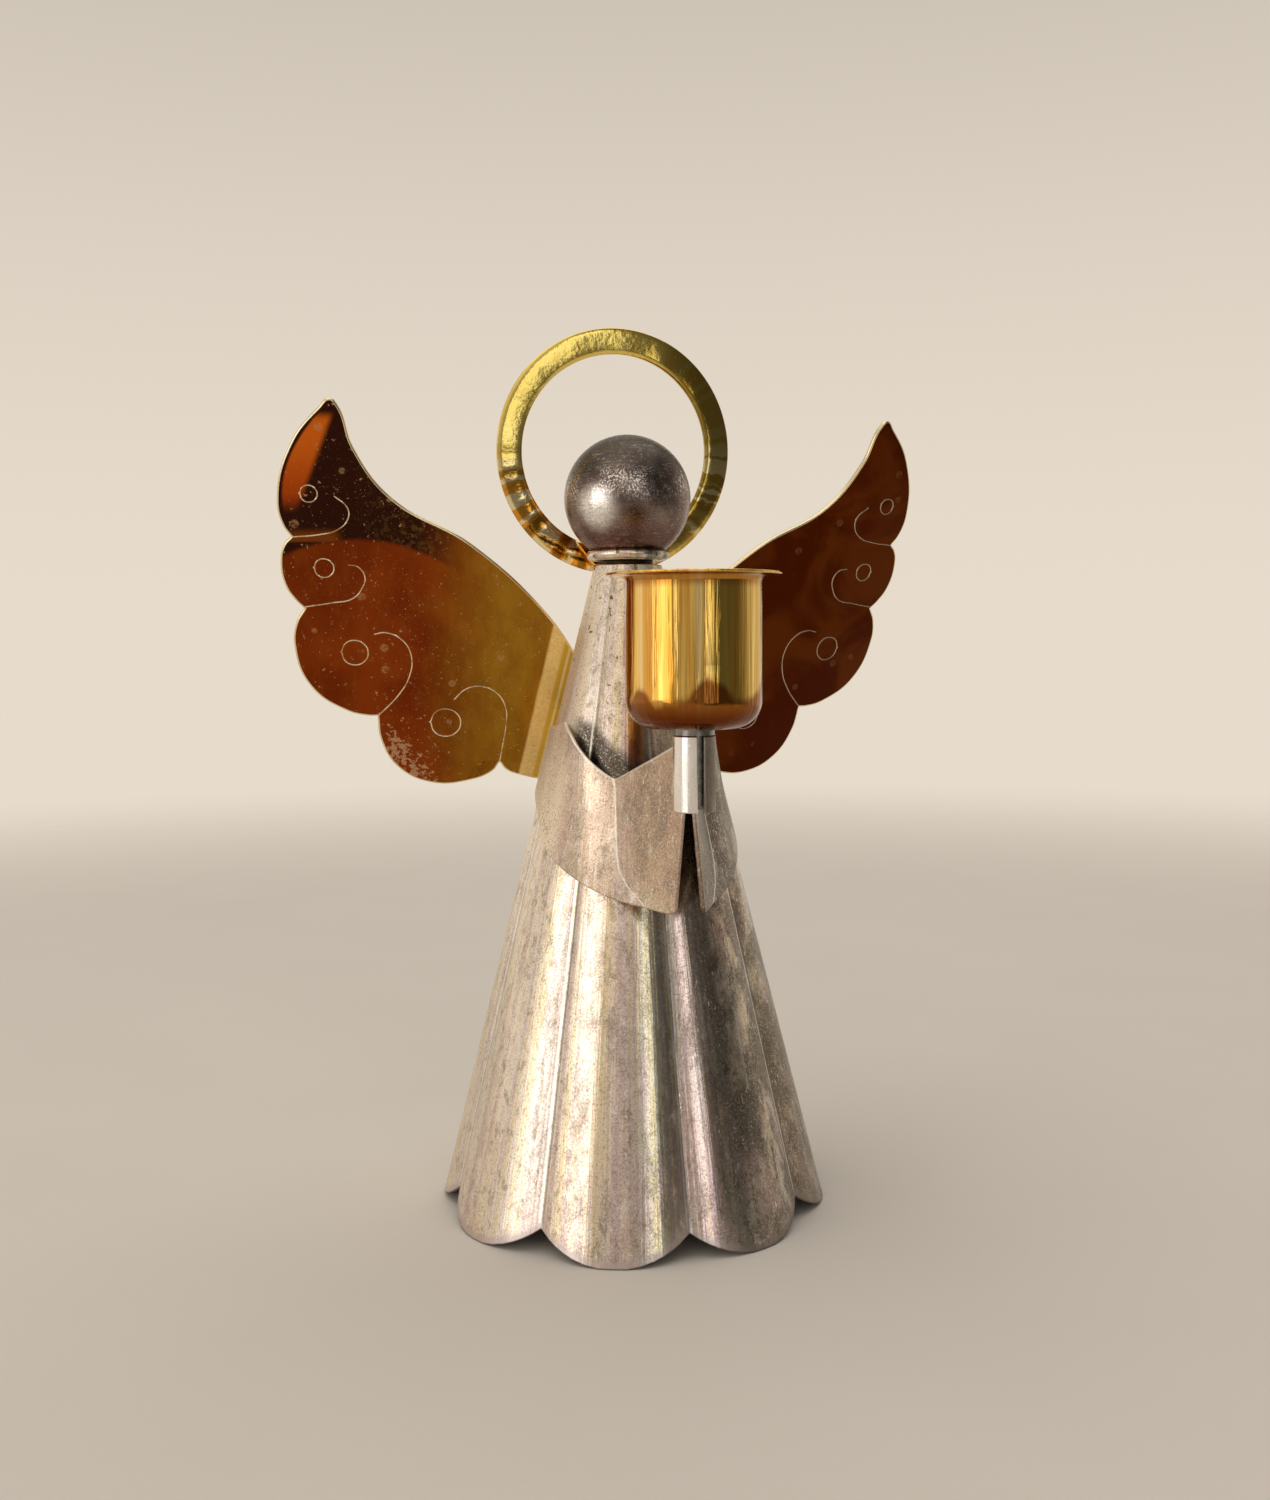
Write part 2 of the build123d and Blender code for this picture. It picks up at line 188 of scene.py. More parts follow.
def silver_plate():
    """Old silver plate: toned in streaks down the flutes and in clouds, with fine grain, pits and
    scratches, and a dark line along each fold. Light and shade are painted on it too: reflection
    bands by direction, a paler left, a darker right, highlights beside the folds, on the bends and
    on the left hand, and shadows above the sleeves' edge and along the hem. A piece's mesh says
    where it is rubbed with a wear attribute, where it is brown and dull, and painted in shade on
    the right, with a toned one and where it is bent with a fold one."""
    material, shader, place = new_finish("silver_plate")
    x = place.only("X")
    y = place.only("Y")
    height = place.only("Z")
    azimuth = x.maths("ARCTAN2", x, y * -1)
    streaks = round_the_axis(place, 9.0, 0.008).cloud(1.0, 5.0, 0.65)
    fine_streaks = round_the_axis(place, 36.0, 0.012).cloud(1.0, 4.0, 0.65)
    clouds = place.stretched(1, 1, 0.6).cloud(0.13, 8.0, 0.70, 0.4)
    grain = place.cloud(3.0, 2.0, 0.6)

    # Where a place is: on the gown alone, high up on it, on the right, where shade is painted, or
    # on the left, where light is painted.
    toned = place.attribute("toned")
    gown_only = toned.rise(0.2, 0.0) * height.rise(GOWN_H + 0.6, GOWN_H - 0.2)
    upper = height.rise(79, 86) * gown_only
    right = azimuth.rise(0.10, 0.36) * azimuth.rise(2.2, 1.6) * (1 - upper)
    left = azimuth.rise(-0.50, -0.85)

    # Streaks down the flutes: warm grey, rose, straw, blue grey, and fine dark and pale ones.
    colour = streaks.rise(0.40, 0.60).over((0.80, 0.70, 0.59, 1), (0.97, 0.88, 0.77, 1))
    rose = place.stretched(1, 1, 0.3).cloud(0.11, 3.0, 0.5, 0.3).rise(0.48, 0.64)
    colour = (rose * 0.9).over(colour, (0.93, 0.64, 0.56, 1))
    straw = round_the_axis(place, 13.0, 0.010).cloud(1.0, 3.0, 0.6).rise(0.53, 0.57)
    colour = (straw * 0.75).over(colour, (0.98, 0.79, 0.47, 1))
    blue = round_the_axis(place, 16.0, 0.014).cloud(1.0, 3.0, 0.6).rise(0.57, 0.62)
    colour = (blue * 0.6).over(colour, (0.45, 0.49, 0.48, 1))
    colour = (fine_streaks.rise(0.53, 0.62) * 0.45).over(colour, (0.42, 0.36, 0.30, 1))
    colour = (fine_streaks.rise(0.46, 0.38) * 0.45).over(colour, (0.98, 0.92, 0.82, 1))

    # Painted reflection and shade bands by direction, with a ragged edge. Behind the cup the upper
    # gown is pale instead.
    drift = azimuth + (clouds - 0.5) * 0.35 + (fine_streaks - 0.5) * 0.12
    lower = 1 - upper * azimuth.rise(-0.14, -0.02)
    for low, high, strength, tint in GOWN_REFLECTION_BANDS:
        band = drift.rise(low - 0.04, low + 0.04) * drift.rise(high + 0.04, high - 0.04)
        colour = (band * lower * strength).over(colour, tint)
    # Painted reflection of the lit cup: the upper gown pale straw behind it.
    cup_reflection = upper * azimuth.rise(-0.10, 0.06)
    colour = (cup_reflection * 0.7).over(colour, (0.97, 0.86, 0.63, 1))

    # Sleeves and flaps: brown, and nearly black on the right as painted shade.
    sleeve_brown_and_shade = x.rise(0, 4).over((0.56, 0.38, 0.26, 1), (0.10, 0.08, 0.055, 1))
    colour = (toned * (0.9 + x.rise(0, 6) * 0.4)).over(colour, sleeve_brown_and_shade)

    # Dull clouds and mottling, darker on the right as painted shade; a paler left as painted
    # light;
    # a pink blush near the hem, grime and thin bands.
    dull = (clouds + right * 0.10).rise(0.47, 0.65)
    dull_and_shade_colour = right.over((0.27, 0.22, 0.175, 1), (0.085, 0.070, 0.050, 1))
    colour = (dull * (0.55 + right * 0.3 - left * 0.2)).over(colour, dull_and_shade_colour)
    colour = (left * gown_only * 0.6).over(colour, (1.0, 0.91, 0.80, 1))
    blush = place.stretched(1, 1, 0.3).cloud(0.2, 5.0, 0.6).rise(0.42, 0.60) * height.rise(30, 8)
    colour = (blush * 0.5).over(colour, (0.74, 0.55, 0.53, 1))
    lit = gown_only * (1 - right)
    darkened = place.stretched(1, 1, 0.4).cloud(0.30, 8.0, 0.76, 0.6).rise(0.49, 0.60)
    colour = (darkened * height.rise(15, 55) * lit * 0.5).over(colour, (0.40, 0.34, 0.22, 1))
    bands = round_the_axis(place, 24.0, 0.006).cloud(1.0, 3.0, 0.6)
    colour = (bands.rise(0.545, 0.575) * lit * 0.55).over(colour, (0.92, 0.73, 0.38, 1))
    colour = (bands.rise(0.455, 0.425) * lit * 0.5).over(colour, (0.66, 0.47, 0.45, 1))
    mottle = place.stretched(1, 1, 0.5).cloud(0.55, 6.0, 0.72, 0.5)
    dark_spots_and_shade = right.over((0.36, 0.28, 0.19, 1), (0.065, 0.055, 0.040, 1))
    colour = (mottle.rise(0.52, 0.64) * 0.65).over(colour, dark_spots_and_shade)
    pale_spots_and_shade = right.over((1.0, 0.94, 0.84, 1), (0.55, 0.50, 0.42, 1))
    colour = (mottle.rise(0.44, 0.34) * 0.6).over(colour, pale_spots_and_shade)

    # Painted shade at the far right and towards the neck; the side next to the wing painted pale
    # as painted light, with a painted highlight line; and a painted shadow on the gown above the
    # sleeve's edge.
    away = right * (0.05 + azimuth.rise(0.55, 0.90) * 0.5)
    colour = away.over(colour, (0.16, 0.125, 0.08, 1))
    colour = (height.rise(98, 112) * gown_only * 0.15).over(colour, (0.45, 0.385, 0.32, 1))
    on_side = height.rise(84, 92) * gown_only + toned.rise(0.1, 0.3)
    wing_side_light = azimuth.rise(-0.92, -1.12) * on_side
    colour = (wing_side_light * 0.85).over(colour, (1.0, 0.88, 0.68, 1))
    side_highlight = azimuth.rise(-1.33, -1.28) * azimuth.rise(-1.19, -1.24) * upper
    colour = side_highlight.over(colour, (1.0, 0.98, 0.92, 1))
    # Painted shadow on the gown just above the sleeve's upper edge.
    sleeve_edge = 96.4 - (y + 4.6) * (y + 4.6) * 0.068
    sleeve_shadow = (height - sleeve_edge).rise(2.6, 0.2) * height.rise(80, 85) * y.rise(-5, -9)
    colour = (sleeve_shadow * gown_only * 0.92).over(colour, (0.045, 0.035, 0.022, 1))

    # Grain, then a dark line along the fold between two flutes and a painted highlight beside it.
    dark_grains = grain.rise(0.53, 0.64) * (0.45 + clouds.rise(0.35, 0.6) * 0.55)
    colour = (dark_grains * 0.6).over(colour, (0.26, 0.21, 0.165, 1))
    colour = (grain.rise(0.45, 0.36) * 0.4).over(colour, (0.97, 0.92, 0.84, 1))
    turn = azimuth * (0.5 / HALF_FLUTE) + 0.5
    radius = (x * x + y * y) ** 0.5
    off_crease = (x.maths("FRACT", turn) - 0.5) * (2 * HALF_FLUTE) * radius
    creased = gown_only * (0.15 + height.rise(110, 86) * 0.85)
    crease = off_crease.rise(-0.15, 0.1) * off_crease.rise(0.7, 0.3)
    colour = (crease * creased * 0.7).over(colour, (0.20, 0.16, 0.12, 1))
    fold_highlight = off_crease.rise(-0.65, -0.5) * off_crease.rise(-0.15, -0.3)
    colour = (fold_highlight * creased * 0.8).over(colour, (1.0, 0.95, 0.86, 1))

    # Pits, scratches, bends painted pale as rubbed metal and as a highlight line, and the rubbed
    # hem
    # and hands: painted shade on the right hem and right hand, a painted highlight on the left
    # hand, and a painted shadow line along the hem.
    pits = place.cloud(0.62, 2.0, 0.5, 0.8).rise(0.665, 0.70)
    pits = pits * (0.25 + height.rise(90, 112) * 0.75)
    colour = (pits * 0.85).over(colour, (0.05, 0.04, 0.035, 1))
    scratches = place.stretched(2.4, 2.4, 0.3).cloud(0.8, 3.0, 0.5).rise(0.69, 0.72)
    colour = scratches.over(colour, (0.96, 0.90, 0.84, 1))
    fold = place.attribute("fold")
    colour = (fold.rise(0.72, 0.95) * 0.8).over(colour, (0.96, 0.90, 0.80, 1))
    wear = place.attribute("wear")
    worn = (wear * (0.45 + clouds)).rise(0.35, 0.75)
    hand = height.rise(20, 60)
    hem_tone_and_shade = right.over((0.62, 0.53, 0.50, 1), (0.30, 0.26, 0.235, 1))
    hand_light_and_shade = x.rise(-0.6, 0.6).over((0.96, 0.92, 0.86, 1), (0.22, 0.19, 0.165, 1))
    colour = (worn * 0.85).over(colour, hand.over(hem_tone_and_shade, hand_light_and_shade))
    hem_shadow_line = wear.rise(0.86, 0.97) * (1 - hand)
    colour = (hem_shadow_line * 0.7).over(colour, (0.10, 0.08, 0.07, 1))

    roughness = 0.17 + dull * 0.14 + (grain - 0.5) * 0.16 + (fine_streaks - 0.5) * 0.12
    roughness = roughness + toned * 0.16 + worn * (0.05 - hand * 0.10)
    roughness = roughness + wing_side_light * 0.32 + cup_reflection * 0.3 + left * gown_only * 0.08
    relief = streaks * 7 + fine_streaks * 1.8 + grain * 0.2 - pits * 2
    set_finish(shader, colour, roughness, relief, 0.013)
    return material


def flute(angle):
    """Gown's radius as a share of a crest's, at an angle from the front, with rounded folds."""
    a = abs(angle % (2 * HALF_FLUTE) - HALF_FLUTE)
    to_fold = HALF_FLUTE - a
    if to_fold < FOLD:
        a = HALF_FLUTE - (to_fold**2 / FOLD + FOLD) / 2
    reach = VALLEY * math.sin(HALF_FLUTE)
    rise = 1 - VALLEY * math.cos(HALF_FLUTE)
    bow = (reach**2 + rise**2) / (2 * rise)
    centre = 1 - bow
    return centre * math.cos(a) + math.sqrt(bow**2 - (centre * math.sin(a)) ** 2)


def hem_rise(angle):
    """Height of the scalloped hem at an angle from the front."""
    a = angle % (2 * HALF_FLUTE) - HALF_FLUTE
    across = HEM_R * VALLEY * math.sin(a)
    full = HEM_R * VALLEY * math.sin(HALF_FLUTE)
    centre = (SCALLOP**2 + full**2 - (HEM_FLAT / 2) ** 2) / (2 * SCALLOP)
    return max(0.0, centre - math.sqrt(centre**2 + (HEM_FLAT / 2) ** 2 - across**2))


def crest(z):
    """Radius over the flutes at a height."""
    return HEM_R + (NECK_R - HEM_R) * z / GOWN_H


def angle_of(v):
    """A vertex's angle from the front, to the figure's left."""
    return math.atan2(v.co.x, -v.co.y)


def set_on_gown(verts, share):
    """Moves a ring of vertices out to the flutes, at a share of the way from hem to neck."""
    for v in verts:
        angle = angle_of(v)
        z = hem_rise(angle) * (1 - share) + GOWN_H * share
        r = crest(z) * flute(angle)
        v.co = (r * math.sin(angle), -r * math.cos(angle), z)


def extruded(bm, edges):
    """Extrudes a ring of edges and gives the new ring's vertices and edges."""
    made = bmesh.ops.extrude_edge_only(bm, edges=edges)["geom"]
    verts = [g for g in made if isinstance(g, bmesh.types.BMVert)]
    return verts, [g for g in made if isinstance(g, bmesh.types.BMEdge)]


def finished(bm, name, material, body, slot, *nodes):
    """Puts a piece drawn in mm on the gown's axis into the frame, in place of its CAD nodes."""
    bmesh.ops.scale(bm, vec=(MM, MM, MM), verts=bm.verts)
    bmesh.ops.translate(bm, vec=AXIS, verts=bm.verts)
    mesh = bpy.data.meshes.new(name)
    bm.to_mesh(mesh)
    bm.free()
    mesh.shade_smooth()
    mesh.set_sharp_from_angle(angle=SHARP_FROM)
    mesh.materials.append(material)
    piece = bpy.data.objects.new(name, mesh)
    bpy.context.collection.objects.link(piece)
    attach(piece, body)
    if nodes:
        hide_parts(*nodes)
    return piece


def soften(piece, width):
    """Rounds a piece's sharp edges with a small bevel."""
    bevel = piece.modifiers.new("soft_edges", "BEVEL")
    bevel.width = width * MM
    bevel.segments = 2
    bevel.limit_method = "ANGLE"
    bevel.angle_limit = SOFTEN_FROM


plate = silver_plate()
bm = bmesh.new()
bmesh.ops.create_circle(bm, cap_ends=False, radius=HEM_R, segments=FLUTES * FLUTE_STEPS)
for v in bm.verts:
    angle = angle_of(v)
    closer = angle - FOLD_PULL * math.sin(FLUTES * angle) / FLUTES
    v.co.xy = (HEM_R * math.sin(closer), -HEM_R * math.cos(closer))
set_on_gown(bm.verts, 0)
ring = bm.edges[:]
for share in GOWN_RINGS:
    verts, ring = extruded(bm, ring)
    set_on_gown(verts, share)
verts, ring = extruded(bm, ring)
for v in verts:
    v.co.xy = v.co.xy.normalized() * NECK_HOLE
bmesh.ops.recalc_face_normals(bm, faces=bm.faces)
bmesh.ops.solidify(bm, geom=bm.faces[:], thickness=GOWN_WALL)
wear = bm.verts.layers.float.new("wear")
for v in bm.verts:
    hem = hem_rise(angle_of(v))
    v.co.z = max(v.co.z, hem)
    v[wear] = max(0.0, 1 - (v.co.z - hem) / HEM_WEAR)
gown = finished(bm, "gown_sheet", plate, "figure", "silver_plate", "gown")
soften(gown, 0.18)


# Arms: one band of the same plated sheet, carried round the back of the gown, standing off its
# sides as sleeves and bent forward at the elbows into two flaps. Their ends are rolled to two
# half tubes, the hands, which clasp the cup's peg. The back screw holds the band.
ARM_T = 0.8
GAP = 0.15
CUP_REACH = 39.1
HAND_BORE = 2.95
HAND_R = HAND_BORE + ARM_T
HAND_FOOT = 82.2
HAND_TOP = 95.6
HAND_SLIT = 1.2
FLAP_GAP = 0.8
FLAP_SPREAD = 5.0
FLAP_Y = CUP_REACH - HAND_BORE
FLAP_TIP = HAND_FOOT - 19.0
FLAP_TOP = HAND_TOP - 0.9
SPREAD_RUN = HAND_FOOT - FLAP_TIP + 3.0
ELBOW_X = 7.9
ELBOW_Y = 18.4
ELBOW_LEAN = 0.367
ELBOW_SPLAY = 0.08
SLEEVE_OFF = 0.7
SLEEVE_FLARE = 1.9
TUCK_Z = 71.5
TUCK = 0.6
TONE_FADE = 6.0
SLEEVE_TONE = 0.54
SLEEVE_SIDE = math.radians(72)
SLEEVE_MID = math.radians(46)
BAND_FOOT = 85.0
BAND_TOP = 95.0
PEAK = (-4.6, 96.4)
SHOULDER = (-10, 93.6)
NOTCH = (-ELBOW_Y + 1.6, 86.1)
TIP_ROUND = 1.6
# Lower edge, from the front back: y, and how far it lies above the flap's tip.
SLEEVE_RISE = [(-FLAP_Y, 0), (-22.8, 2), (-9, 8.6), (0, 17)]


def on_circle(radius, angle):
    """Plan point at an angle from the front."""
    return Vector((radius * math.sin(angle), -radius * math.cos(angle)))


def flap_ends(z):
    """Plan points of the flap at a height: its free edge, and the elbow, which runs out towards
    the edge at the tip."""
    drop = HAND_FOOT - z
    spread = max(0.0, drop / SPREAD_RUN) * (FLAP_SPREAD - FLAP_GAP) / 2
    edge = Vector((FLAP_GAP / 2 + spread, -FLAP_Y))
    elbow = Vector((ELBOW_X + ELBOW_SPLAY * drop, -ELBOW_Y - ELBOW_LEAN * drop))
    low = min(max(0.0, (TUCK_Z - z) / (TUCK_Z - FLAP_TIP)), 1.0)
    return edge, elbow.lerp(edge, TUCK * low**2)


def sleeve_plan(part, z):
    """Plan point of the band's inner face. Part is 0 at the flap's edge, 1 at the elbow, 2 at the
    side of the gown and 3 at its back."""
    edge, elbow = flap_ends(z)
    wall = crest(z) + GAP
    if part <= 1:
        return edge.lerp(elbow, part)
    if part >= 2:
        return on_circle(wall, SLEEVE_SIDE + (part - 2) * (math.pi - SLEEVE_SIDE))
    side = on_circle(wall, SLEEVE_SIDE)
    flare = SLEEVE_FLARE * min(max(0.0, (z - HAND_FOOT) / (HAND_TOP - HAND_FOOT)), 1.0)
    pull = 2 * on_circle(wall + SLEEVE_OFF + flare, SLEEVE_MID) - (elbow + side) / 2
    t = part - 1
    return elbow * (1 - t) ** 2 + pull * 2 * t * (1 - t) + side * t**2


def along(points, y):
    """Height of a smooth edge through (y, z) points, given from the front to the back."""
    last = len(points) - 1
    i = next((n for n in range(last) if y <= points[n + 1][0]), last - 1)

    def slope(n):
        low, high = points[max(n - 1, 0)], points[min(n + 1, last)]
        return (high[1] - low[1]) / (high[0] - low[0])

    (y0, z0), (y1, z1) = points[i], points[i + 1]
    run = y1 - y0
    t = min(max((y - y0) / run, 0), 1)
    rise = (2 * t**3 - 3 * t**2 + 1) * z0 + (3 * t**2 - 2 * t**3) * z1
    return rise + run * ((t**3 - 2 * t**2 + t) * slope(i) + (t**3 - t**2) * slope(i + 1))


def sleeve_foot(y):
    """Height of the band's lower edge, rounded at the flap's tip."""
    edge = [(at, FLAP_TIP + rise) for at, rise in SLEEVE_RISE]
    edge.append((crest(BAND_FOOT), BAND_FOOT))
    inset = max(0.0, TIP_ROUND - FLAP_Y - y)
    return along(edge, y) + TIP_ROUND - math.sqrt(max(0.0, TIP_ROUND**2 - inset**2))


def sleeve_top(y):
    """Height of the band's upper edge: a notch at the elbow and a peak at the shoulder."""
    if y < NOTCH[0]:
        share = (NOTCH[0] - y) / (NOTCH[0] + FLAP_Y)
        return NOTCH[1] + (FLAP_TOP - NOTCH[1]) * share
    if y < PEAK[0]:
        return along([NOTCH, SHOULDER, PEAK], y)
    return max(BAND_TOP, PEAK[1] + (BAND_TOP - PEAK[1]) * (y - PEAK[0]) / -PEAK[0])


bm = bmesh.new()
wear = bm.verts.layers.float.new("wear")
toned = bm.verts.layers.float.new("toned")
fold = bm.verts.layers.float.new("fold")
bmesh.ops.create_grid(bm, x_segments=96, y_segments=10, size=1)
for v in bm.verts:
    side = math.copysign(1, v.co.x)
    part = 3 * (1 - abs(v.co.x))
    share = (v.co.y + 1) / 2
    v[fold] = float(abs(part - 1) < 0.01 or share > 0.99)
    # A point's height and its depth follow from each other, so a few rounds settle both.
    z = HAND_FOOT
    for _ in range(6):
        y = sleeve_plan(part, z).y
        z = sleeve_foot(y) * (1 - share) + sleeve_top(y) * share
    spot = sleeve_plan(part, z)
    v.co = (side * spot.x, spot.y, z)
bmesh.ops.recalc_face_normals(bm, faces=bm.faces)
bmesh.ops.solidify(bm, geom=bm.faces[:], thickness=-ARM_T)
for side in (1, -1):
    front = math.asin(HAND_SLIT / 2 / HAND_R)
    back = math.pi - math.asin(FLAP_GAP / 2 / HAND_R)
    made = bmesh.ops.create_grid(bm, x_segments=1, y_segments=1, size=0.5)["verts"]
    for v in made:
        reach = HAND_BORE + ARM_T * (v.co.x + 0.5)
        z = HAND_FOOT + (HAND_TOP - HAND_FOOT) * (v.co.y + 0.5)
        spot = on_circle(reach, front)
        v.co = (side * spot.x, spot.y - CUP_REACH, z)
    section = list({e for v in made for e in v.link_edges})
    bmesh.ops.spin(bm, geom=made + section, cent=(0, -CUP_REACH, 0), axis=(0, 0, 1),
                   angle=side * (back - front), steps=28)
    loose = [e for e in bm.edges if e.is_boundary]
    bmesh.ops.holes_fill(bm, edges=loose, sides=4)
bmesh.ops.recalc_face_normals(bm, faces=bm.faces)
for v in bm.verts:
    from_cup = (v.co.xy - Vector((0, -CUP_REACH))).length
    v[wear] = float(from_cup < HAND_R + 0.01 and v.co.z > HAND_FOOT - 0.01)
    # Toned says how strongly the finish makes a sleeve or flap brown and dull; on the right the
    # finish paints it nearly black as shade.
    past_elbow = min(max(0.0, (flap_ends(v.co.z)[1].y - v.co.y) / TONE_FADE), 1.0)
    v[toned] = (SLEEVE_TONE + (1 - SLEEVE_TONE) * past_elbow) * (1 - v[wear])
arms = finished(bm, "arm_band", plate, "figure", "silver_plate", "arms")
soften(arms, 0.22)


# Wings: one sheet of brass cut to two wings on a flat web and bent back at both its sides, with
# rings and hooked lines pressed in for the feathers. The lacquer has aged to brown, golden near
# the web, with failed spots. A screw through the web holds the wings to the band and the gown.
WING_T = 1.0
WEB_HALF = 6.0
WEB_Z = 90.0
WEB_OFF = 0.85
WEB_Y = crest(WEB_Z) + GAP + ARM_T + WEB_OFF
WEB_TOP = (0, 11.5)
WEB_FOOT = (0, -8.2)
WING_TILT = math.radians(21.8)
WING_SWEEP = math.radians(10.5)
WING_EDGE = 0.4
LINE_R = 0.17
LINE_SUNK = 0.4 * LINE_R
FEATHER_NOTCHES = {(22.1, -4.7), (47.8, 4.5), (62.7, 27.0), (65.3, 41.6), (6, 17.6)}
WING_OUTLINE = [
    (13.3, -8.2), (17, -7.6), (20.6, -6.4), (22.1, -4.7),
    (23.4, -6.8), (28.5, -9.4), (36, -10.3), (43, -7.2), (46.9, -1), (47.8, 4.5),
    (49.5, 4.4), (54, 5.3), (61.3, 10.3), (64.6, 19), (64.2, 24), (62.7, 27.0),
    (64.4, 28.6), (66.4, 31.6), (67.3, 37), (66.6, 40), (65.3, 41.6),
    (66.8, 43.6), (68, 48.5), (65.4, 60), (60.4, 67.0), (58.3, 68.9), (56.9, 67.8),
    (53.8, 60), (46.6, 50.9), (30.5, 42.5), (14, 28.4), (6, 17.6),
]
# Pressed rings: across, up and radius. Pressed hooks: points across and up.
FEATHER_RINGS = [(62, 50.4, 1.65), (58.9, 35.7, 1.9), (52.6, 18.3, 2.65), (33.8, 3.9, 3.1)]
FEATHER_HOOKS = [
    [(57.2, 50.3), (54.6, 48.1), (54.5, 45.9), (56.5, 43.6), (59.6, 42.5), (64.9, 41.6)],
    [(54.3, 36.7), (52.4, 36.4), (51, 34.5), (51.4, 32.2), (53.2, 29.8), (57.3, 28.6),
     (62.5, 27.4)],
    [(48.9, 22.5), (46.6, 23), (43.4, 21.7), (41.4, 18.5), (41.6, 13.7), (43.7, 9.4), (47.5, 4.7)],
    [(32.3, 9.2), (30, 11.7), (27.1, 12.5), (23.8, 11.3), (21.6, 7.9), (21.3, 4.5), (21.7, -0.6),
     (22.1, -4.5)],
]


def wing_brass():
    """Lacquered brass gone brown: golden towards the web, with pale spots and dust. The right wing
    is darker as painted shade, a strip beside the gown holds a painted reflection of it, and one
    tip holds a painted dark reflection with a red rim. A front attribute marks the front face,
    which has aged most and carries most of these painted marks, and a cut attribute the bare edge."""
    material, shader, place = new_finish("wing_brass")
    x = place.only("X")
    height = place.only("Z")
    across = x.maths("ABSOLUTE", x)
    front = place.attribute("front")
    cut = place.attribute("cut")
    drift = (place.cloud(0.09, 3.0, 0.55) - 0.5) * 8
    film = place.cloud(0.05, 4.0, 0.55, 0.6)
    haze = place.stretched(1, 1, 0.25).cloud(0.35, 4.0, 0.6)
    grain = place.cloud(1.6, 3.0, 0.6)

    # Brown film, golden towards the web, and darker on the right wing as painted shade.
    colour = film.rise(0.38, 0.64).over((0.20, 0.030, 0.004, 1), (0.29, 0.050, 0.006, 1))
    colour = (haze.rise(0.45, 0.7) * 0.3).over(colour, (0.33, 0.080, 0.010, 1))
    right_wing_shade = film.rise(0.42, 0.60).over((0.060, 0.009, 0.001, 1), (0.105, 0.024, 0.003, 1))
    colour = (x.rise(-12, 12) * (0.4 + front * 0.52)).over(colour, right_wing_shade)
    golden = (across + drift).rise(41, 20) * (x.rise(30, 0) + (1 - front)).rise(0, 1)
    gold = haze.rise(0.3, 0.7).over((0.34, 0.15, 0.012, 1), (0.42, 0.205, 0.018, 1))
    colour = golden.over(colour, gold)

    # Painted reflection of the gown in a strip beside it, with a thin pale reflected line in it.
    from_gown = across + height * 0.152
    gown_reflection = grain.rise(0.35, 0.65).over((1.0, 0.80, 0.36, 1), (0.96, 0.66, 0.24, 1))
    gown_reflection = from_gown.rise(27.8, 27.2).over(gown_reflection, (0.80, 0.54, 0.08, 1))
    reflected_line = from_gown.rise(25.8, 26.1) * from_gown.rise(26.6, 26.3)
    gown_reflection = reflected_line.over(gown_reflection, (1.0, 0.90, 0.50, 1))
    reflection_strip = (from_gown + drift * 0.05).rise(30.9, 30.2) * front
    colour = reflection_strip.over(colour, gown_reflection)

    # Left tip: a painted dark reflection above an arch, and a painted red reflection at its rim
    # and under the upper hook.
    arch = 132 - (x + 52) * (x + 52) * 0.016
    dark_tip = (height - arch + drift * 0.06).rise(-0.5, 0.7) * (x + drift * 0.6).rise(-29, -41)
    dark_tip = dark_tip * front
    olive = place.cloud(0.8, 4.0, 0.7).rise(0.48, 0.62) * x.rise(-54, -42)
    dark_tip_colour = (olive * 0.8).over((0.026, 0.009, 0.006, 1), (0.11, 0.062, 0.014, 1))
    colour = (dark_tip * 0.95).over(colour, dark_tip_colour)
    rim_line = x + 66.2 - (height - 140.5) * (height - 140.5) * 0.0313
    rim_reflection = rim_line.rise(0.0, 0.6) * (x + 57.3 + (154 - height) * 0.36).rise(0.8, -0.8)
    rim_reflection = rim_reflection * height.rise(136.5, 141) * height.rise(155.5, 153.5) * front
    rim_colour = height.rise(138, 152).over((0.44, 0.060, 0.006, 1), (0.72, 0.15, 0.012, 1))
    colour = rim_reflection.over(colour, rim_colour)
    under_hook_reflection = height.rise(134.6, 132.6) * (height - 131.6).rise(-0.2, 0.4) * x.rise(-54, -57)
    colour = (under_hook_reflection * front * 0.9).over(colour, (0.24, 0.060, 0.008, 1))

    # Failed spots, dust and pits, most of them on the left wing, and the bare cut edge.
    scatter = {"Vector": place, "Scale": 0.22}
    cells = place.node("TexVoronoi", {}, scatter, "Distance")
    chance = place.node("TexVoronoi", {}, scatter, "Color")
    chosen = place.node("SeparateColor", {}, {0: chance}, "Red")
    left = x.rise(8, -8)
    spots = cells.rise(0.22, 0.15) * chosen.rise(0.80, 0.84) * grain.rise(0.3, 0.6)
    spots = spots * (0.25 + left * 0.75)
    colour = (spots * 0.5).over(colour, (0.62, 0.34, 0.15, 1))
    dusty = place.cloud(0.06, 2.0, 0.5).rise(0.40, 0.62) * x.rise(10, -30)
    dust = place.cloud(3.4, 2.0, 0.5).rise(0.68, 0.73) * (0.03 + left * 0.07 + dusty * front * 0.8)
    colour = (dust * 0.6).over(colour, (0.70, 0.48, 0.27, 1))
    lobe_rim = (x * -0.70 - height * 0.71).rise(-38.5, -34.0)
    lobe_rim = lobe_rim * x.rise(-46.5, -44) * x.rise(-33, -37)
    pitted = (place.cloud(1.0, 3.0, 0.7) + lobe_rim * 0.18).rise(0.64, 0.70) * left
    colour = (pitted * 0.75).over(colour, (0.66, 0.40, 0.22, 1))
    colour = (cut * 0.9).over(colour, (1.0, 0.84, 0.52, 1))

